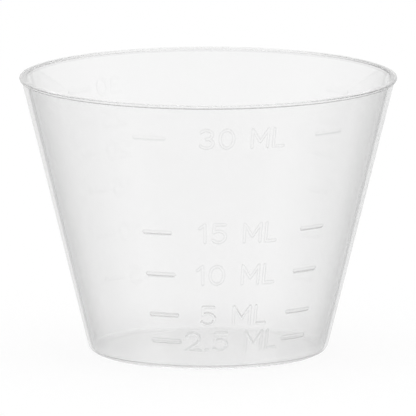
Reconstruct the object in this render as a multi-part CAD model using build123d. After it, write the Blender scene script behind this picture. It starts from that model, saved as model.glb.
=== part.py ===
from build123d import *

import os
from math import atan2, cos, degrees, radians, tan

# A thin-walled medicine cup, moulded in one piece from polypropylene. The foot rests on z = 0 and
# the cup's axis is Z. The front scale faces -Y. Millimetres and degrees.

# Body: the outside of the tapered wall, as its cone would meet the foot plane and the rim plane.
height = 34.25
foot_diameter = 29.25
mouth_diameter = 46.2
wall = 0.63
floor = 0.45
foot_radius = 1.4
inner_corner_radius = 0.45

# Rim bead: a small outward lip round the mouth.
rim_height = 0.4
rim_reach = 0.22
rim_top_radius = 0.16
mouth_edge_chamfer = 0.1

# Graduation bars: raised on the outside of the wall, each an arc of a level ring.
bar_height = 0.4
bar_relief = 0.15
bar_length = 3.7
top_bar_length = 4.2
bar_side_slope = 0.05

# Fill lines, named by the millilitres that they stand for. The top line lies a set depth below
# the rim, and each other line at its share of the way from the foot up to the top line.
top_line = 30
top_line_depth = 4.23
front_lines = {2.5: 0.124, 5: 0.238, 10: 0.414, 15: 0.594, top_line: 1.0}
rear_lines = {5: 0.238, 10: 0.414, 15: 0.594, 20: 0.743, 25: 0.873, top_line: 1.0}

# Each scale is two columns of bars with the measures between them. A scale's middle is an
# azimuth from the front, positive to the right, and its spread is from there to a column.
front_scale_middle = 11.4
front_scale_spread = 30.6
rear_scale_middle = 180.0
rear_scale_spread = 47.2

draft = degrees(atan2(mouth_diameter - foot_diameter, 2 * height))
wall_across = wall / cos(radians(draft))


def outer_radius(z):
    """Radius of the outside of the plain wall at height z."""
    return foot_diameter / 2 + z * tan(radians(draft))


def inner_radius(z):
    """Radius of the inside of the wall at height z."""
    return outer_radius(z) - wall_across


def make_body():
    """The wall, floor and rim as one turned section."""
    rim_bottom = height - rim_height
    foot = (outer_radius(0), 0)
    under_lip = (outer_radius(rim_bottom) + rim_reach, rim_bottom)
    lip_top = (outer_radius(height) + rim_reach, height)
    mouth_edge = (inner_radius(height), height)
    inner_corner = (inner_radius(floor), floor)
    outline = [
        (0, 0),
        foot,
        (outer_radius(rim_bottom), rim_bottom),
        under_lip,
        lip_top,
        mouth_edge,
        inner_corner,
        (0, floor),
    ]
    rounds = [
        (foot, foot_radius),
        (lip_top, rim_top_radius),
        (inner_corner, inner_corner_radius),
    ]
    with BuildPart() as body:
        with BuildSketch(Plane.XZ) as section:
            with BuildLine():
                Polyline(*outline, close=True)
            make_face()
            for place, size in rounds:
                fillet(section.vertices().sort_by_distance(Vector(*place))[0], size)
            chamfer(section.vertices().sort_by_distance(Vector(*mouth_edge))[0], mouth_edge_chamfer)
        revolve(axis=Axis.Z)
    return body.part


def make_bar(level, azimuth, length):
    """One raised bar, centred on a fill line, with sloped sides and a face that follows the wall."""
    low = level - bar_height / 2
    high = level + bar_height / 2
    face_low = low + bar_side_slope
    face_high = high - bar_side_slope
    arc = degrees(length / outer_radius(level))
    root = wall_across / 2
    outline = [
        (outer_radius(low) - root, low),
        (outer_radius(low), low),
        (outer_radius(face_low) + bar_relief, face_low),
        (outer_radius(face_high) + bar_relief, face_high),
        (outer_radius(high), high),
        (outer_radius(high) - root, high),
    ]
    with BuildPart() as bar:
        with BuildSketch(Plane.XZ):
            with BuildLine():
                Polyline(*outline, close=True)
            make_face()
        revolve(axis=Axis.Z, revolution_arc=arc)
    return bar.part.rotate(Axis.Z, azimuth - 90 - arc / 2)


def make_scale(lines, middle, spread):
    """The two columns of bars of one scale."""
    bars = []
    for volume, share in lines.items():
        level = share * (height - top_line_depth)
        length = top_bar_length if volume == top_line else bar_length
        for azimuth in (middle - spread, middle + spread):
            bars.append(make_bar(level, azimuth, length))
    return bars


def make_cup():
    """The whole cup, with its bars fused to the wall."""
    bars = make_scale(front_lines, front_scale_middle, front_scale_spread)
    bars += make_scale(rear_lines, rear_scale_middle, rear_scale_spread)
    return make_body().fuse(*bars)


os.makedirs("parts", exist_ok=True)
export_step(make_cup(), "parts/medicine_cup.step")
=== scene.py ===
"""Dresses the moulded medicine cup and lights it: its body, fill lines and measures, and the studio."""

import logging
from dataclasses import dataclass
from enum import Enum, IntEnum
from math import atan2, ceil, cos, hypot, pi, radians, sin, tan
from typing import Callable, Iterator, Sequence

import bmesh
import bpy
import numpy as np
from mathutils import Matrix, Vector


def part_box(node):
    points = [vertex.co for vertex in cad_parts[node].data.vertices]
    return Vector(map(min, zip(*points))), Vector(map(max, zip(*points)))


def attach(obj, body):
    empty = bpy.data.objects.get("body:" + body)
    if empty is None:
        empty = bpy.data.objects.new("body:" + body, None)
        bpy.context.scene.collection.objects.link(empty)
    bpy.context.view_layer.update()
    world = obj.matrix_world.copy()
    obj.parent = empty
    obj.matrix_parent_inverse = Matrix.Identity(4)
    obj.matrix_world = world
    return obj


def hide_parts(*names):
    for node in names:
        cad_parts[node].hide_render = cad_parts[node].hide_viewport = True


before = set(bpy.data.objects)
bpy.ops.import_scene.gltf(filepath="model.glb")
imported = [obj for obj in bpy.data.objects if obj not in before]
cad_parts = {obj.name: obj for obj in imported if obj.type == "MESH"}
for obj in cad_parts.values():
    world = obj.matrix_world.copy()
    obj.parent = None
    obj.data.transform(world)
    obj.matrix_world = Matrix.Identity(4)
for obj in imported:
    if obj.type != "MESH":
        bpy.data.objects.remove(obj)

log = logging.getLogger("medicine_cup")

MM = 0.001
NODE = "medicine_cup"
BODY = "root"
UP = Vector((0, 0, 1))

# Point attributes of the mesh that the plastic reads: shares of milk and painted shade, and how much the
# slant's milk and painted edge shade counts.
BODY_MILK_AND_SHADE = "body_milk_and_shade"
MARK_MILK_AND_SHADE = "mark_milk_and_shade"
SLANT_SHARE = "slant_share"

# How far off a vertex may lie and still count as on a surface.
SLACK = 0.01 * MM

# A length and a square of a length below which two points count as one.
NO_LENGTH = 1e-9
NO_LENGTH_SQUARED = 1e-18

# How far a face's normal has to point up, down or outwards to count as facing that way.
LEVEL = 0.9
STEEP = 0.5

# How far the rounding of the bead keeps its widest point inside the sharp corner, and the hair
# by which the bead stays inside the CAD's.
RIM_ROUNDED_OFF = 0.0444 * MM
RIM_HAIR = 0.004 * MM

# Fill lines, named by their millilitres, at their shares of the way up to the top one.
TOP_LINE = "30"
LINES = {"2.5": 0.124, "5": 0.238, "10": 0.414, "15": 0.594, "20": 0.743, "25": 0.873, TOP_LINE: 1.0}

# How much a mirrored ray counts as sight of the background.
GLOSSY_SHARE = 0.97

# Angle between the short runs of a curved pen stroke, in degrees.
PEN_STEP = 15

Point = tuple[float, float]
Colour = tuple[float, float, float, float]


def grey(level: float) -> Colour:
    """An opaque neutral colour of the given linear level."""
    return (level, level, level, 1.0)


class MixSocket(IntEnum):
    """Sockets of a colour Mix node, several of which share a name."""

    FACTOR = 0
    FIRST = 6
    SECOND = 7
    RESULT = 2


class MixShaderSocket(IntEnum):
    """Input sockets of a Mix Shader node, two of which share a name."""

    FACTOR = 0
    FIRST = 1
    SECOND = 2


class Bench:
    """The edit-mode bench: picks out parts of one mesh in code and runs operators on them."""

    def __init__(self, piece: bpy.types.Object) -> None:
        """Put a piece on the bench.

        Args:
            piece: the mesh object to be worked on, which is the active one.
        """
        self.piece = piece

    def __enter__(self) -> "Bench":
        """Enter edit mode with nothing selected.

        Returns:
            The bench itself.
        """
        bpy.ops.object.mode_set(mode="EDIT")
        bpy.ops.mesh.select_all(action="DESELECT")
        return self

    def __exit__(self, *problem: object) -> None:
        """Return to object mode."""
        bpy.ops.object.mode_set(mode="OBJECT")

    def pick_faces(self, wanted: Callable[[bmesh.types.BMFace], bool]) -> None:
        """Select only the faces that pass a test.

        Args:
            wanted: the test on a face.
        """
        bpy.ops.mesh.select_mode(type="FACE")
        bpy.ops.mesh.select_all(action="DESELECT")
        shape = bmesh.from_edit_mesh(self.piece.data)
        for face in [face for face in shape.faces if wanted(face)]:
            face.select_set(True)
        bmesh.update_edit_mesh(self.piece.data)

    def pick_ring(self, radius: float, height: float, slack: float = 2 * SLACK) -> int:
        """Select the ring of edges that runs round the axis at a radius and height.

        Args:
            radius: the ring's radius.
            height: the ring's height.
            slack: how far off a vertex may lie.

        Returns:
            How many edges were selected.
        """
        bpy.ops.mesh.select_mode(type="EDGE")
        bpy.ops.mesh.select_all(action="DESELECT")
        shape = bmesh.from_edit_mesh(self.piece.data)
        count = 0
        for edge in shape.edges:
            ends = [(hypot(v.co.x, v.co.y) - radius, v.co.z - height) for v in edge.verts]
            if all(abs(out) < slack and abs(rise) < slack for out, rise in ends):
                edge.select_set(True)
                count += 1
        bmesh.update_edit_mesh(self.piece.data)
        return count


def faces_out(face: bmesh.types.BMFace) -> bool:
    """Whether a face looks away from the cup's axis."""
    middle = face.calc_center_median()
    return face.normal.x * middle.x + face.normal.y * middle.y > STEEP * hypot(middle.x, middle.y)


def smooth_step(share: np.ndarray) -> np.ndarray:
    """Ease shares from 0 to 1 in and out."""
    return share * share * (3 - 2 * share)


@dataclass
class CupSection:
    """The sizes of the turned body, in metres. Height and mouth come from the frame."""

    height: float
    rim_radius: float
    foot_radius: float = 14.625 * MM
    wall: float = 0.63 * MM
    floor: float = 0.45 * MM
    foot_round: float = 1.4 * MM
    inner_round: float = 0.45 * MM
    rim_height: float = 0.4 * MM
    rim_reach: float = 0.22 * MM
    rim_round: float = 0.16 * MM
    mouth_edge: float = 0.1 * MM
    lip_edge: float = 0.13 * MM
    top_line_depth: float = 4.23 * MM

    @property
    def top_line(self) -> float:
        """Height of the top fill line, which lies a set depth below the rim."""
        return self.height - self.top_line_depth

    @property
    def mouth_radius(self) -> float:
        """Radius at which the outside of the wall would meet the rim plane."""
        return self.rim_radius - self.rim_reach

    @property
    def draft(self) -> float:
        """Lean of the wall from upright, in radians."""
        return atan2(self.mouth_radius - self.foot_radius, self.height)

    @property
    def wall_across(self) -> float:
        """Thickness of the wall, measured level."""
        return self.wall / cos(self.draft)

    @property
    def wall_bottom(self) -> float:
        """Height at which the foot's rounding passes into the plain wall."""
        return self.foot_round * (1 + sin(self.draft))

    @property
    def rim_bottom(self) -> float:
        """Height of the underside of the rim bead."""
        return self.height - self.rim_height

    def outer(self, height: float) -> float:
        """Radius of the outside of the plain wall at a height."""
        return self.foot_radius + height * tan(self.draft)

    def inner(self, height: float) -> float:
        """Radius of the inside of the wall at a height."""
        return self.outer(height) - self.wall_across

    def round_reach(self, radius: float, corner: float) -> float:
        """How far a rounding of a radius reaches along the faces of a corner.

        Args:
            radius: radius of the rounding.
            corner: angle between the two faces, in radians.

        Returns:
            The distance from the sharp corner to where the rounding starts.
        """
        return radius / tan(corner / 2)


@dataclass
class Stroke:
    """One pen stroke of a mark, as points joined by straight runs, in metres on the wall."""

    points: list[Point]
    half_width: float


class Glyph(Enum):
    """Pen strokes of a plain single-line alphabet, on a cell one cap height tall."""

    ZERO = "0"
    ONE = "1"
    TWO = "2"
    THREE = "3"
    FIVE = "5"
    POINT = "."
    M = "M"
    L = "L"
    SPACE = " "

    @property
    def width(self) -> float:
        """Width of the glyph in cap heights."""
        widths = {Glyph.ONE: 0.4, Glyph.POINT: 0.06, Glyph.M: 0.86, Glyph.L: 0.56, Glyph.SPACE: 0.35}
        return widths.get(self, 0.72)

    def strokes(self) -> list[list[Point]]:
        """The glyph's strokes.

        Returns:
            A list of strokes, each a list of points in cap heights.
        """
        bowl = pen_arc
        drawn: dict[Glyph, list[list[Point]]] = {
            Glyph.ZERO: [bowl((0.36, 0.5), (0.36, 0.5), 0, 360)],
            Glyph.ONE: [[(0.08, 0.78), (0.34, 1.0), (0.34, 0.0)]],
            Glyph.TWO: [bowl((0.36, 0.68), (0.34, 0.32), 165, -35) + [(0.0, 0.0), (0.72, 0.0)]],
            Glyph.THREE: [
                bowl((0.33, 0.75), (0.31, 0.25), 150, -90),
                bowl((0.33, 0.26), (0.36, 0.26), 90, -150),
            ],
            Glyph.FIVE: [
                [(0.66, 1.0), (0.12, 1.0), (0.08, 0.55)] + bowl((0.34, 0.32), (0.36, 0.32), 128, -145)
            ],
            Glyph.POINT: [[(0.0, 0.0), (0.06, 0.0), (0.06, 0.06), (0.0, 0.06), (0.0, 0.0)]],
            Glyph.M: [[(0.0, 0.0), (0.0, 1.0), (0.43, 0.3), (0.86, 1.0), (0.86, 0.0)]],
            Glyph.L: [[(0.0, 1.0), (0.0, 0.0), (0.56, 0.0)]],
            Glyph.SPACE: [],
        }
        return drawn[self]


def pen_arc(middle: Point, radii: Point, start: float, end: float) -> list[Point]:
    """A bowl of a glyph, drawn as short straight runs.

    Args:
        middle: centre of the bowl.
        radii: its half width and half height.
        start: angle of its first point, in degrees.
        end: angle of its last point, in degrees.

    Returns:
        The points along the bowl.
    """
    runs = max(2, ceil(abs(end - start) / PEN_STEP))
    angles = [radians(start + (end - start) * step / runs) for step in range(runs + 1)]
    return [(middle[0] + radii[0] * cos(angle), middle[1] + radii[1] * sin(angle)) for angle in angles]


@dataclass
class Mark:
    """A raised mark on the wall: a fill line's bar or a measure, centred on a place on the wall.

    The milk and painted shade are those of its lower and upper flanks, which paint a dark outline round
    the mark that is darker below, and the milk of its face. On a flank that faces sideways, the side
    share of it shows.
    """

    azimuth: float
    level: float
    strokes: list[Stroke]
    relief: float
    edge: float
    milk: float
    upper_milk: float
    face_milk: float = 0.0
    side_share: float = 0.55

    def reach(self) -> Point:
        """Measure the box that holds the mark and its edge.

        Returns:
            Half the width and half the height of the box.
        """
        points = [p for stroke in self.strokes for p in stroke.points]
        widest = max(stroke.half_width for stroke in self.strokes) + self.edge
        return max(abs(x) for x, _ in points) + widest, max(abs(y) for _, y in points) + widest

    def measure(self, across: np.ndarray, up: np.ndarray) -> tuple[np.ndarray, np.ndarray]:
        """How far points of the wall lie outside the mark's strokes, and on which side.

        Args:
            across: the points' places along the wall, from the mark's centre.
            up: their places up the wall.

        Returns:
            The distances from the nearest stroke's edge, below 0 inside it, and the share of
            each point's way from the stroke that leads down, from -1 above it to 1 below it.
        """
        nearest = np.full(across.shape, np.inf)
        fall = np.zeros(across.shape)
        for stroke in self.strokes:
            for (x0, y0), (x1, y1) in zip(stroke.points, stroke.points[1:]):
                run = np.array((x1 - x0, y1 - y0))
                along = ((across - x0) * run[0] + (up - y0) * run[1]) / max(run @ run, NO_LENGTH_SQUARED)
                along = np.clip(along, 0.0, 1.0)
                rise = up - y0 - along * run[1]
                off = np.hypot(across - x0 - along * run[0], rise)
                closer = off - stroke.half_width < nearest
                nearest = np.where(closer, off - stroke.half_width, nearest)
                fall = np.where(closer, -rise / np.maximum(off, NO_LENGTH), fall)
        return nearest, fall


@dataclass
class Lettering:
    """How measures are drawn: the size of their letters and pen."""

    cap_height: float = 2.35 * MM
    pen: float = 0.3 * MM
    gap: float = 0.75 * MM
    relief: float = 0.05 * MM
    edge: float = 0.2 * MM
    # Painted shade on the letters' flanks: a dark outline, darker on the lower flank.
    milk: float = 0.62
    upper_milk: float = 0.46

    def write(self, text: str, azimuth: float, level: float) -> Mark:
        """Draw a measure on the wall.

        Args:
            text: the characters of the measure.
            azimuth: azimuth of its middle, in degrees from the front.
            level: height of its middle.

        Returns:
            The measure as a raised mark.
        """
        glyphs = [Glyph(letter) for letter in text]
        length = sum(g.width * self.cap_height for g in glyphs) + self.gap * (len(glyphs) - 1)
        left = -length / 2
        strokes = []
        for glyph in glyphs:
            for points in glyph.strokes():
                placed = [(left + x * self.cap_height, (y - 0.5) * self.cap_height) for x, y in points]
                strokes.append(Stroke(placed, self.pen / 2))
            left += glyph.width * self.cap_height + self.gap
        return Mark(azimuth, level, strokes, self.relief, self.edge, self.milk, self.upper_milk)


@dataclass
class Scale:
    """One graduated scale: two columns of bars, with measures beside or between them.

    Azimuths are in degrees from the front, positive to the right as seen from there.
    """

    middle: float
    spread: float
    lines: Sequence[str]
    unit: str
    label_azimuth: float
    lettering: Lettering
    bar_length: float = 3.7 * MM
    top_bar_length: float = 4.2 * MM
    bar_height: float = 0.4 * MM
    bar_relief: float = 0.07 * MM
    bar_edge: float = 0.26 * MM
    # Painted shade on the bars' flanks, a dark outline darker on the lower flank, and the milk of their
    # faces.
    bar_milk: float = 1.5
    bar_upper_milk: float = 0.35
    bar_face_milk: float = 0.25
    top_bar_share: float = 0.4

    @classmethod
    def front(cls) -> "Scale":
        """Lay out the front scale, with its measures between the columns.

        Returns:
            The front scale.
        """
        return cls(
            middle=11.4,
            spread=30.6,
            lines=("2.5", "5", "10", "15", TOP_LINE),
            unit=" ML",
            label_azimuth=11.1,
            lettering=Lettering(),
        )

    @classmethod
    def rear(cls) -> "Scale":
        """Lay out the rear scale, which is fainter, with plain numbers beside one column.

        Returns:
            The rear scale.
        """
        relief = 0.045 * MM
        edge = 0.36 * MM
        return cls(
            middle=180.0,
            spread=47.2,
            lines=("5", "10", "15", "20", "25", TOP_LINE),
            unit="",
            label_azimuth=-145.5,
            lettering=Lettering(cap_height=2.0 * MM, gap=0.6 * MM, relief=relief, edge=edge),
            bar_relief=relief,
            bar_edge=edge,
            bar_milk=0.6,
            bar_upper_milk=0.25,
            bar_face_milk=0.2,
            top_bar_share=1.0,
        )

    def bar(self, azimuth: float, level: float, run: float, share: float) -> Mark:
        """One raised bar.

        Args:
            azimuth: azimuth of its middle, in degrees from the front.
            level: its height.
            run: half its length, less its rounded ends.
            share: how strongly it stands out, from 0 to 1.

        Returns:
            The bar as a raised mark.
        """
        stroke = Stroke([(-run, 0.0), (run, 0.0)], self.bar_height / 2)
        return Mark(
            azimuth=azimuth,
            level=level,
            strokes=[stroke],
            relief=self.bar_relief * share,
            edge=self.bar_edge,
            milk=self.bar_milk * share,
            upper_milk=self.bar_upper_milk * share,
            face_milk=self.bar_face_milk * share,
        )

    def marks(self, top_level: float) -> Iterator[Mark]:
        """The scale's bars and measures, from the foot up.

        Args:
            top_level: height of the top fill line.

        Yields:
            Each raised mark.
        """
        for line in self.lines:
            level = LINES[line] * top_level
            length = self.top_bar_length if line == TOP_LINE else self.bar_length
            share = self.top_bar_share if line == TOP_LINE else 1.0
            run = (length - self.bar_height) / 2
            for azimuth in (self.middle - self.spread, self.middle + self.spread):
                yield self.bar(azimuth, level, run, share)
            yield self.lettering.write(line + self.unit, self.label_azimuth, level)


@dataclass
class Cup:
    """The cup: its turned body, refined and raised where the marks are."""

    section: CupSection
    marks: list[Mark]
    name: str = "cup_body"

    # The mesh: its columns and rows, and how it is refined round the marks. A vertex off the
    # taper by less than the true share of its radius is brought to it.
    columns: int = 240
    row: float = 0.86 * MM
    seam_row: float = 0.36 * MM
    refinements: int = 4
    refine_cells: float = 0.7
    refine_margin: float = 0.03 * MM
    faces_per_edge: float = 3.0
    true_share: float = 0.002
    smooth_angle: float = 50.0
    foot_steps: int = 14
    inner_steps: int = 8
    rim_steps: int = 6
    lip_steps: int = 5
    inner_rows: tuple[float, ...] = (9 * MM, 6.5 * MM, 5 * MM, 4 * MM, 3 * MM, 2 * MM, 1.4 * MM)
    rim_fade: float = 0.1 * MM
    flat_ring: float = 1.5 * MM

    # Milk and painted shade by place, from the rim down: painted dark lines on the rim's top, at the
    # mouth, inside the rim and under the lip, darker towards the bottom inside, and a painted dark ring,
    # the foot line, in the foot's rounding.
    parting_milk_and_shade: float = 2.1
    bead_milk: float = 0.2
    top_milk_and_shade: float = 1.3
    mouth_milk_and_shade: float = 0.65
    rim_milk_and_shade: float = 1.0
    inner_milk: float = 0.4
    low_milk_and_shade: float = 0.85
    low_height: float = 5.5 * MM
    floor_milk: float = 0.0
    foot_milk_and_shade: float = 1.8
    base_milk: float = 0.45
    foot_shade_line: float = 0.583 * MM
    foot_shade_line_width: float = 0.11 * MM

    # How much the milk and painted edge shade at a slant counts by place, where it counts less than 1.
    rim_slant: float = 0.1
    inner_slant: float = 0.5
    corner_slant: float = 0.4
    floor_slant: float = 0.6
    foot_slant: float = 0.2

    def build(self) -> bpy.types.Object:
        """Model the whole cup.

        Returns:
            The finished mesh object.
        """
        piece = self.start_cone()
        with Bench(piece) as bench:
            self.open_cavity(bench)
            self.add_bead(bench)
            self.round_edges(bench)
            self.cut_rows(bench)
            self.true_wall(bench)
            self.refine_marks(bench)
            bpy.ops.mesh.select_all(action="SELECT")
            bpy.ops.mesh.normals_make_consistent(inside=False)
        self.raise_marks(piece)
        bpy.ops.object.shade_smooth_by_angle(angle=radians(self.smooth_angle))
        return piece

    def start_cone(self) -> bpy.types.Object:
        """Add the solid tapered blank, from the foot plane to the rim plane.

        Returns:
            The blank, with its place in its mesh.
        """
        bpy.ops.object.select_all(action="DESELECT")
        bpy.ops.mesh.primitive_cone_add(
            vertices=self.columns,
            radius1=self.section.outer(0),
            radius2=self.section.outer(self.section.height),
            depth=self.section.height,
            end_fill_type="NGON",
            location=UP * (self.section.height / 2),
        )
        piece = bpy.context.object
        piece.name = self.name
        bpy.ops.object.transform_apply(location=True, rotation=False, scale=False)
        return piece

    def open_cavity(self, bench: Bench) -> None:
        """Inset the top by the wall, and push it down to the floor at the inner taper.

        Args:
            bench: the bench that holds the blank.
        """
        section = self.section
        bench.pick_faces(lambda face: face.normal.z > LEVEL)
        bpy.ops.mesh.inset(thickness=section.wall_across)
        drop = UP * (section.floor - section.height)
        bpy.ops.mesh.extrude_region_move(TRANSFORM_OT_translate={"value": drop})
        narrow = section.inner(section.floor) / section.inner(section.height)
        bpy.ops.transform.resize(value=(narrow, narrow, 1), center_override=(0, 0, 0))

    def add_bead(self, bench: Bench) -> None:
        """Cut the wall below the rim and widen the band above into the bead.

        Args:
            bench: the bench that holds the cup.
        """
        section = self.section
        bench.pick_faces(faces_out)
        bpy.ops.mesh.bisect(plane_co=UP * section.rim_bottom, plane_no=UP)
        bench.pick_faces(lambda f: faces_out(f) and f.calc_center_median().z > section.rim_bottom)
        bpy.ops.mesh.extrude_region_move(TRANSFORM_OT_translate={"value": (0, 0, 0)})
        widen = section.rim_radius / section.mouth_radius
        bpy.ops.transform.resize(value=(widen, widen, 1), center_override=(0, 0, 0))

    def round_edges(self, bench: Bench) -> None:
        """Round the foot, the inner corner, the bead and the mouth, and frame the flat faces.

        Args:
            bench: the bench that holds the cup.
        """
        section = self.section
        obtuse = pi / 2 + section.draft
        foot_reach = section.round_reach(section.foot_round, obtuse)
        inner_reach = section.round_reach(section.inner_round, obtuse)
        rim_reach = section.round_reach(section.rim_round, pi / 2 - section.draft)
        under_lip = section.outer(section.rim_bottom) * section.rim_radius / section.mouth_radius
        rings = [
            (section.outer(0), 0.0, foot_reach, self.foot_steps),
            (section.inner(section.floor), section.floor, inner_reach, self.inner_steps),
            (section.rim_radius, section.height, rim_reach, self.rim_steps),
            (section.inner(section.height), section.height, section.mouth_edge, self.rim_steps),
            (under_lip, section.rim_bottom, section.lip_edge, self.lip_steps),
        ]
        for radius, height, reach, steps in rings:
            count = bench.pick_ring(radius, height)
            log.info("rounding %d edges at radius %.2f mm", count, radius / MM)
            bpy.ops.mesh.bevel(offset=reach, segments=steps, profile=0.5, affect="EDGES")
        for way in (-UP, UP):
            bench.pick_faces(lambda face: face.normal @ way > LEVEL and len(face.verts) > 4)
            bpy.ops.mesh.inset(thickness=self.flat_ring)
            bpy.ops.mesh.inset(thickness=self.flat_ring)

    def cut_rows(self, bench: Bench) -> None:
        """Cut the outside and inside of the wall into level rows.

        Args:
            bench: the bench that holds the cup.
        """
        section = self.section
        low = section.wall_bottom
        count = round((section.rim_bottom - low) / self.row)
        heights = [low + (section.rim_bottom - low) * step / count for step in range(1, count)]
        for height in (low + self.seam_row, *heights):
            bench.pick_faces(self.on_wall)
            bpy.ops.mesh.bisect(plane_co=UP * height, plane_no=UP)
        for height in (section.rim_bottom, section.rim_bottom - self.rim_fade, *self.inner_rows):
            bench.pick_faces(lambda face: not faces_out(face) and abs(face.normal.z) < STEEP)
            bpy.ops.mesh.bisect(plane_co=UP * height, plane_no=UP)

    def on_wall(self, face: bmesh.types.BMFace) -> bool:
        """Tell whether a face belongs to the plain outside of the wall, between foot and rim.

        Args:
            face: the face in question.

        Returns:
            Whether it does.
        """
        height = face.calc_center_median().z
        between = self.section.wall_bottom < height < self.section.rim_bottom
        return between and faces_out(face) and face.normal.z < 0

    def true_wall(self, bench: Bench) -> None:
        """Bring every vertex of the plain outside of the wall to the exact taper.

        Args:
            bench: the bench that holds the cup.
        """
        section = self.section
        low = section.wall_bottom - 2 * SLACK
        high = section.rim_bottom + SLACK
        shape = bmesh.from_edit_mesh(bench.piece.data)
        for vertex in shape.verts:
            if low < vertex.co.z < high:
                scale = section.outer(vertex.co.z) / hypot(vertex.co.x, vertex.co.y)
                if abs(scale - 1) < self.true_share:
                    vertex.co.x *= scale
                    vertex.co.y *= scale
        bmesh.update_edit_mesh(bench.piece.data)

    def wall_places(self, points: np.ndarray, mark: Mark) -> tuple[np.ndarray, np.ndarray]:
        """Places of points on the unrolled wall, from a mark's centre.

        Args:
            points: an array of X, Y, Z rows.
            mark: the mark to measure from.

        Returns:
            Places along the wall and up the wall.
        """
        azimuth = np.arctan2(points[:, 0], -points[:, 1]) - radians(mark.azimuth)
        azimuth = (azimuth + pi) % (2 * pi) - pi
        up = (points[:, 2] - mark.level) / cos(self.section.draft)
        return azimuth * self.section.outer(mark.level), up

    def gap_to_marks(self, points: np.ndarray, margin: float, cell: float) -> np.ndarray:
        """Distance of points of the wall from the edges of the nearest mark that needs more detail.

        Args:
            points: an array of X, Y, Z rows.
            margin: how far from a mark it still matters.
            cell: size of the wall's present faces.

        Returns:
            The distance from the nearest stroke's edge for each point, or infinity.
        """
        gap = np.full(len(points), np.inf)
        for mark in (mark for mark in self.marks if cell > mark.edge / self.faces_per_edge):
            across, up = self.wall_places(points, mark)
            wide, tall = mark.reach()
            near = np.flatnonzero((np.abs(across) < wide + margin) & (np.abs(up) < tall + margin))
            if len(near):
                gap[near] = np.minimum(gap[near], mark.measure(across[near], up[near])[0])
        return gap

    def refine_marks(self, bench: Bench) -> None:
        """Subdivide the wall round the marks, each time finer and nearer to them.

        Args:
            bench: the bench that holds the cup.
        """
        cell = self.row
        seam = self.section.wall_bottom + self.seam_row
        for _ in range(self.refinements):
            shape = bmesh.from_edit_mesh(bench.piece.data)
            wall = [face for face in shape.faces if len(face.verts) <= 4 and self.on_wall(face)]
            wall = [face for face in wall if face.calc_center_median().z > seam]
            middles = np.array([face.calc_center_median() for face in wall])
            gap = self.gap_to_marks(middles, 2 * cell, cell)
            margin = self.refine_cells * cell + self.refine_margin
            chosen = {wall[place].index for place in np.flatnonzero(gap < margin)}
            bench.pick_faces(lambda face: face.index in chosen)
            bpy.ops.mesh.subdivide(number_cuts=1, ngon=False, quadcorner="INNERVERT")
            self.true_wall(bench)
            cell /= 2
            log.info("refined %d faces round the marks", len(chosen))

    def body_milk_and_shade(self, height: np.ndarray, proud: np.ndarray) -> np.ndarray:
        """The milk and painted shade of the turned body: painted dark lines at the rim, the mouth and
        under the lip, a painted dark ring in the foot's rounding, and darker towards the bottom inside.

        Args:
            height: heights of its vertices.
            proud: how far they lie outside the plain taper.

        Returns:
            Their shares of milk and painted shade.
        """
        section = self.section
        inside = proud < -section.wall_across / 2
        bead = proud > SLACK
        top = height > section.height - SLACK
        under_lip = bead & (height < section.rim_bottom + section.lip_edge)
        low = np.clip(1 - height / self.low_height, 0, 1) ** 2
        # Painted dark ring in the foot's rounding, and darker towards the bottom inside.
        foot_shade_ring = np.clip(1 - np.abs(height - self.foot_shade_line) / self.foot_shade_line_width, 0, 1)
        under_foot = (height < self.foot_shade_line) * self.base_milk
        milk = np.maximum(foot_shade_ring * self.foot_milk_and_shade, under_foot)
        milk = np.where(bead, self.bead_milk, milk)
        milk = np.where(inside, self.inner_milk + (self.low_milk_and_shade - self.inner_milk) * low, milk)
        milk = np.where(inside & (height < section.floor + SLACK), self.floor_milk, milk)
        milk = np.where(inside & (height > section.rim_bottom - SLACK), self.rim_milk_and_shade, milk)
        # Painted dark lines under the lip, on the rim's top and at the mouth.
        milk = np.where(under_lip, self.parting_milk_and_shade, milk)
        milk = np.where(top, self.top_milk_and_shade, milk)
        return np.where(top & inside, self.mouth_milk_and_shade, milk)

    def slant_share(self, height: np.ndarray, proud: np.ndarray) -> np.ndarray:
        """How much the milk and painted edge shade at a slant counts: less inside, on the bead and round
        the foot.

        Args:
            height: heights of the body's vertices.
            proud: how far they lie outside the plain taper.

        Returns:
            A share from 0 to 1 for each.
        """
        section = self.section
        inside = (proud < -section.wall_across / 2) & (height > section.floor - SLACK)
        corner = height < section.floor + section.inner_round
        in_from_wall = -proud - section.wall_across - section.inner_round
        fade = np.clip(in_from_wall / (2 * self.flat_ring), 0, 1)
        on_floor = self.floor_slant + (1 - self.floor_slant) * fade
        share = np.where(corner, self.corner_slant, self.inner_slant)
        share = np.where(height < section.floor + SLACK, on_floor, share)
        foot = np.clip(height / section.wall_bottom, 0, 1)
        share = np.where(inside, share, self.foot_slant + (1 - self.foot_slant) * foot)
        return np.where(height > section.rim_bottom + SLACK, self.rim_slant, share)

    def weigh_marks(self, places: np.ndarray, outside: np.ndarray) -> tuple[np.ndarray, np.ndarray]:
        """Work out how far the marks raise each vertex, and the painted shade on their flanks, a dark
        outline that is darker below, with the milk of their faces.

        Args:
            places: the vertices' X, Y, Z rows.
            outside: whether each vertex lies on the plain outside of the wall.

        Returns:
            How far each vertex rises, in metres, and its share of milk and painted shade.
        """
        rise = np.zeros(len(places))
        milk = np.zeros(len(places))
        for mark in self.marks:
            across, up = self.wall_places(places, mark)
            wide, tall = mark.reach()
            near = np.flatnonzero((np.abs(across) < wide) & (np.abs(up) < tall) & outside)
            gap, fall = mark.measure(across[near], up[near])
            slope = np.clip(0.5 - gap / mark.edge, 0.0, 1.0)
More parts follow.
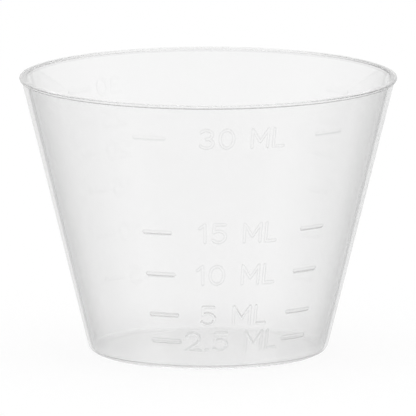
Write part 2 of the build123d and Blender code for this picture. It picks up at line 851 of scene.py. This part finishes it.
            # Painted shade: the lower flank is darker than the upper one.
            side = mark.upper_milk + (mark.milk - mark.upper_milk) * (1 + fall) / 2
            side = side * (mark.side_share + (1 - mark.side_share) * np.abs(fall))
            flank_shade = 4 * slope * (1 - slope) * side
            milk[near] = np.maximum(milk[near], np.maximum(flank_shade, slope * mark.face_milk))
            rise[near] = np.maximum(rise[near], smooth_step(slope) * mark.relief)
        return rise, milk

    def raise_marks(self, piece: bpy.types.Object) -> None:
        """Raise the marks from the wall by painted weight and a displacement.

        The body and the flanks of the marks also get their shares of milk and painted shade, as
        attributes.

        Args:
            piece: the modelled cup, its wall refined round the marks.
        """
        places = np.empty(len(piece.data.vertices) * 3)
        piece.data.vertices.foreach_get("co", places)
        places = places.reshape(-1, 3)
        height = places[:, 2]
        proud = np.hypot(places[:, 0], places[:, 1]) - self.section.outer(height)
        rise, milk = self.weigh_marks(places, np.abs(proud) < SLACK)
        shades = {
            BODY_MILK_AND_SHADE: self.body_milk_and_shade(height, proud),
            SLANT_SHARE: self.slant_share(height, proud),
            MARK_MILK_AND_SHADE: milk,
        }
        for name, values in shades.items():
            shade = piece.data.attributes.new(name, "FLOAT", "POINT")
            shade.data.foreach_set("value", values)
        tallest = max(mark.relief for mark in self.marks)
        group = piece.vertex_groups.new(name="relief")
        for index in np.flatnonzero(rise > 0):
            group.add([int(index)], float(rise[index] / tallest), "REPLACE")
        lift = piece.modifiers.new("relief", "DISPLACE")
        lift.direction = "NORMAL"
        lift.mid_level = 0.0
        lift.strength = tallest
        lift.vertex_group = group.name
        bpy.ops.object.modifier_apply(modifier=lift.name)


class Wire:
    """A shader socket that adds Math nodes as it is used in an expression."""

    def __init__(self, graph: "Graph", socket: bpy.types.NodeSocket) -> None:
        """Wrap a socket of a graph."""
        self.graph = graph
        self.socket = socket

    def _maths(self, operation: str, first: object, second: object) -> "Wire":
        """A Math node on two values or wires."""
        return self.graph.add("ShaderNodeMath", {"operation": operation}, {0: first, 1: second})

    def __add__(self, other: object) -> "Wire":
        """This plus another."""
        return self._maths("ADD", self, other)

    __radd__ = __add__

    def __sub__(self, other: object) -> "Wire":
        """This less another."""
        return self._maths("SUBTRACT", self, other)

    def __rsub__(self, other: object) -> "Wire":
        """Another less this."""
        return self._maths("SUBTRACT", other, self)

    def __mul__(self, other: object) -> "Wire":
        """This times another."""
        return self._maths("MULTIPLY", self, other)

    __rmul__ = __mul__


class Graph:
    """A node tree that is built from Python expressions."""

    def __init__(self, tree: bpy.types.NodeTree) -> None:
        """Start on an emptied tree."""
        self.tree = tree
        self.tree.nodes.clear()

    def add(
        self,
        kind: str,
        settings: dict[str, object],
        inputs: dict[object, object],
        output: str | int = 0,
    ) -> Wire | None:
        """Add a node.

        Args:
            kind: the node's type.
            settings: its own settings, set first.
            inputs: a value or a wire for each socket, by name or number.
            output: the output that is wanted, by name or number.

        Returns:
            A wire from that output, or None where the node has none.
        """
        node = self.tree.nodes.new(kind)
        for name, value in settings.items():
            if name == "stops":
                self.set_stops(node.color_ramp, value)
            else:
                setattr(node, name, value)
        for key, value in inputs.items():
            if isinstance(value, Wire):
                self.tree.links.new(value.socket, node.inputs[key])
            else:
                node.inputs[key].default_value = value
        return Wire(self, node.outputs[output]) if node.outputs else None

    def larger(self, first: object, second: object) -> Wire:
        """The larger of two values or wires."""
        return self.add("ShaderNodeMath", {"operation": "MAXIMUM"}, {0: first, 1: second})

    def mix_shaders(self, factor: Wire, first: Wire, second: Wire) -> Wire:
        """Mix two shaders.

        Args:
            factor: how much of the second one shows.
            first: the shader at factor 0.
            second: the shader at factor 1.

        Returns:
            A wire from the mixed shader.
        """
        sockets = {
            MixShaderSocket.FACTOR: factor,
            MixShaderSocket.FIRST: first,
            MixShaderSocket.SECOND: second,
        }
        return self.add("ShaderNodeMixShader", {}, sockets)

    def set_stops(self, ramp: bpy.types.ColorRamp, stops: Sequence[Point]) -> None:
        """Give a ramp its stops.

        Args:
            ramp: the ramp, as new.
            stops: the position and the grey level of each stop, from low to high.
        """
        while len(ramp.elements) < len(stops):
            ramp.elements.new(0.5)
        for element, (position, level) in zip(ramp.elements, stops):
            element.position = position
            element.color = grey(level)


@dataclass(frozen=True)
class CupPlastic:
    """Natural polypropylene as it leaves the mould: clear in a thin wall and milkier at a slant, with
    painted shade from a grey, lit milky share: a dark band near the silhouette and dark lines at the
    rim, the foot and the marks' flanks.
    """

    name: str = "cup_plastic"
    tint: float = 0.99
    cloud: float = 0.008
    cloud_scale: float = 260.0
    cloud_detail: float = 3.0
    roughness: float = 0.05
    roughness_change: float = 0.02
    ior: float = 1.49
    # Grey level of the lit milk, whose share paints shade as well as haze.
    milk: float = 0.6
    milk_roughness: float = 0.5
    placed_milk_and_shade: float = 0.22
    seen_from_within: float = 0.28

    # Share of milk and painted shade over the slant of the surface, from face-on at 0 to edge-on at 1.
    # The peak near 0.75 paints a dark band just inside the silhouette.
    slant_milk_and_shade: tuple[Point, ...] = (
        (0.0, 0.035),
        (0.083, 0.03),
        (0.16, 0.025),
        (0.257, 0.05),
        (0.367, 0.09),
        (0.469, 0.125),
        (0.532, 0.165),
        (0.609, 0.23),
        (0.66, 0.265),
        (0.7, 0.285),
        (0.725, 0.32),
        (0.745, 0.43),
        (0.775, 0.47),
        (0.8, 0.25),
        (0.83, 0.2),
        (0.9, 0.19),
        (1.0, 0.12),
    )

    def material(self) -> bpy.types.Material:
        """Make the material.

        Returns:
            The new material.
        """
        made = bpy.data.materials.new(self.name)
        made.use_nodes = True
        graph = Graph(made.node_tree)
        place = graph.add("ShaderNodeTexCoord", {}, {}, "Object")
        cloud = graph.add(
            "ShaderNodeTexNoise",
            {},
            {"Vector": place, "Scale": self.cloud_scale, "Detail": self.cloud_detail},
        )
        pale = graph.add(
            "ShaderNodeMix",
            {"data_type": "RGBA"},
            {
                MixSocket.FACTOR: cloud,
                MixSocket.FIRST: grey(self.tint - self.cloud),
                MixSocket.SECOND: grey(self.tint + self.cloud),
            },
            MixSocket.RESULT,
        )
        clear = graph.add(
            "ShaderNodeBsdfPrincipled",
            {},
            {
                "Base Color": pale,
                "Roughness": self.roughness + self.roughness_change * (cloud - 0.5),
                "IOR": self.ior,
                "Transmission Weight": 1.0,
            },
        )
        milk_and_shade_bsdf = graph.add(
            "ShaderNodeBsdfPrincipled",
            {},
            {
                "Base Color": grey(self.milk),
                "Roughness": self.milk_roughness,
                "IOR": self.ior,
                "Specular IOR Level": 0.0,
            },
        )
        # Facing ramp: haze at a slant, with a painted dark band just inside the silhouette.
        slant = graph.add("ShaderNodeLayerWeight", {}, {"Blend": 0.5}, "Facing")
        share = graph.add("ShaderNodeValToRGB", {"stops": self.slant_milk_and_shade}, {"Fac": slant})
        within = graph.add("ShaderNodeNewGeometry", {}, {}, "Backfacing")
        body = graph.add("ShaderNodeAttribute", {"attribute_name": BODY_MILK_AND_SHADE}, {}, "Fac")
        mark = graph.add("ShaderNodeAttribute", {"attribute_name": MARK_MILK_AND_SHADE}, {}, "Fac")
        slanted = graph.add("ShaderNodeAttribute", {"attribute_name": SLANT_SHARE}, {}, "Fac")
        # The attributes add painted shade: dark lines at the rim and the foot, and round the marks.
        share = (share * slanted + body * self.placed_milk_and_shade) * (1 - within)
        share = share + mark * self.placed_milk_and_shade * (1 - within * (1 - self.seen_from_within))
        surface = graph.mix_shaders(share, clear, milk_and_shade_bsdf)
        graph.add("ShaderNodeOutputMaterial", {}, {"Surface": surface})
        return made


@dataclass(frozen=True)
class TableTop:
    """The pale, plain surface that the cup stands on, white to the eye and still shaded by it."""

    name: str = "table_top"
    paint: float = 0.14
    glow: float = 0.88

    def material(self) -> bpy.types.Material:
        """Make the material.

        Returns:
            The new material.
        """
        made = bpy.data.materials.new(self.name)
        made.use_nodes = True
        graph = Graph(made.node_tree)
        glow = graph.add("ShaderNodeEmission", {}, {"Color": grey(1.0), "Strength": self.glow})
        dark = graph.add("ShaderNodeEmission", {}, {"Color": grey(0.0), "Strength": 0.0})
        shown = graph.mix_shaders(seen(graph), dark, glow)
        paint = graph.add("ShaderNodeBsdfDiffuse", {}, {"Color": grey(self.paint)})
        both = graph.add("ShaderNodeAddShader", {}, {0: paint, 1: shown})
        graph.add("ShaderNodeOutputMaterial", {}, {"Surface": both})
        return made


def seen(graph: Graph) -> Wire:
    """How much a ray counts as sight of the background: fully if it is straight or refracted.

    Args:
        graph: the graph to add to.

    Returns:
        A wire from 0 to 1.
    """
    camera = graph.add("ShaderNodeLightPath", {}, {}, "Is Camera Ray")
    through = graph.add("ShaderNodeLightPath", {}, {}, "Is Transmission Ray")
    mirrored = graph.add("ShaderNodeLightPath", {}, {}, "Is Glossy Ray") * GLOSSY_SHARE
    return graph.larger(graph.larger(camera, through), mirrored)


@dataclass(frozen=True)
class Lamp:
    """A soft box, aimed at the cup."""

    name: str
    place: tuple[float, float, float]
    size: float
    power: float


@dataclass
class Studio:
    """The table, the soft light and the camera at the photograph's angle.

    Places are in metres, the elevation in degrees, and the lens and sensor in millimetres.
    """

    target_across: float = -0.02 * MM
    target_height: float = 17.79 * MM
    elevation: float = 9.63
    distance: float = 2.043
    lens: float = 1433.2
    sensor: float = 36.0
    clip_start: float = 0.1
    clip_end: float = 20.0
    table_size: float = 6.0
    table_gap: float = 0.03 * MM
    room_light: float = 0.55
    bounces: int = 128
    sky_low: float = 0.15
    sky_high: float = 0.5
    ceiling: float = 0.8
    lamps: Sequence[Lamp] = (
        Lamp("box_over", (0.0, 0.15, 1.3), 1.2, 5.0),
        Lamp("box_left", (-1.1, -0.6, 0.9), 0.8, 2.0),
        Lamp("box_right", (1.1, -0.5, 0.9), 0.8, 2.0),
    )

    @property
    def target(self) -> Vector:
        """The point in the cup that the camera and the lamps look at."""
        return Vector((self.target_across, 0, self.target_height))

    def build(self) -> None:
        """Set the stage round the cup."""
        scene = bpy.context.scene
        scene.view_settings.view_transform = "Standard"
        scene.cycles.max_bounces = self.bounces
        scene.cycles.glossy_bounces = self.bounces
        scene.cycles.transmission_bounces = self.bounces
        self.lay_table()
        self.light_room()
        for lamp in self.lamps:
            self.hang(lamp)
        self.place_camera()

    def lay_table(self) -> None:
        """Lay the table top a hair under the foot."""
        bpy.ops.object.select_all(action="DESELECT")
        bpy.ops.mesh.primitive_plane_add(size=self.table_size, location=(0, 0, -self.table_gap))
        table = bpy.context.object
        table.name = "table"
        table.data.materials.append(TableTop().material())

    def light_room(self) -> None:
        """Light the room evenly, and show it white to the eye."""
        world = bpy.data.worlds.new("room")
        bpy.context.scene.world = world
        world.use_nodes = True
        graph = Graph(world.node_tree)
        plain = graph.add("ShaderNodeBackground", {}, {"Color": grey(1.0), "Strength": self.room_light})
        way = graph.add("ShaderNodeTexCoord", {}, {}, "Generated")
        rise = graph.add("ShaderNodeSeparateXYZ", {}, {0: way}, "Z")
        sky = graph.add(
            "ShaderNodeMapRange",
            {"interpolation_type": "SMOOTHSTEP"},
            {
                "Value": rise,
                "From Min": self.sky_low,
                "From Max": self.sky_high,
                "To Min": 1.0,
                "To Max": self.ceiling,
            },
        )
        straight = graph.add("ShaderNodeLightPath", {}, {}, "Is Camera Ray")
        shown = graph.larger(sky, straight)
        white = graph.add("ShaderNodeBackground", {}, {"Color": grey(1.0), "Strength": shown})
        both = graph.mix_shaders(seen(graph), plain, white)
        graph.add("ShaderNodeOutputWorld", {}, {"Surface": both})

    def hang(self, lamp: Lamp) -> None:
        """Hang a soft box and aim it at the cup.

        Args:
            lamp: the soft box.
        """
        bpy.ops.object.light_add(type="AREA", location=lamp.place)
        box = bpy.context.object
        box.name = lamp.name
        box.data.size = lamp.size
        box.data.energy = lamp.power
        box.rotation_euler = (self.target - box.location).to_track_quat("-Z", "Y").to_euler()

    def place_camera(self) -> None:
        """Place the camera and make it the scene's."""
        lean = radians(self.elevation)
        back = Vector((0, -cos(lean), sin(lean)))
        bpy.ops.object.camera_add(location=self.target + back * self.distance)
        camera = bpy.context.object
        camera.name = "camera"
        camera.rotation_euler = (-back).to_track_quat("-Z", "Y").to_euler()
        camera.data.sensor_width = self.sensor
        camera.data.lens = self.lens
        camera.data.clip_start = self.clip_start
        camera.data.clip_end = self.clip_end
        bpy.context.scene.camera = camera


def main() -> None:
    """Build the cup and its studio, and report each piece."""
    logging.basicConfig(level=logging.INFO, format="%(name)s: %(message)s")
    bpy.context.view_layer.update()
    _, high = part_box(NODE)
    section = CupSection(height=high.z, rim_radius=high.x + RIM_ROUNDED_OFF - RIM_HAIR)
    marks = [mark for scale in (Scale.front(), Scale.rear()) for mark in scale.marks(section.top_line)]
    cup = Cup(section, marks).build()
    cup.data.materials.append(CupPlastic().material())
    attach(cup, BODY)
    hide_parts(NODE)
    log.info("%s: %d vertices, %d faces", cup.name, len(cup.data.vertices), len(cup.data.polygons))
    Studio().build()


if __name__ == "__main__":
    main()
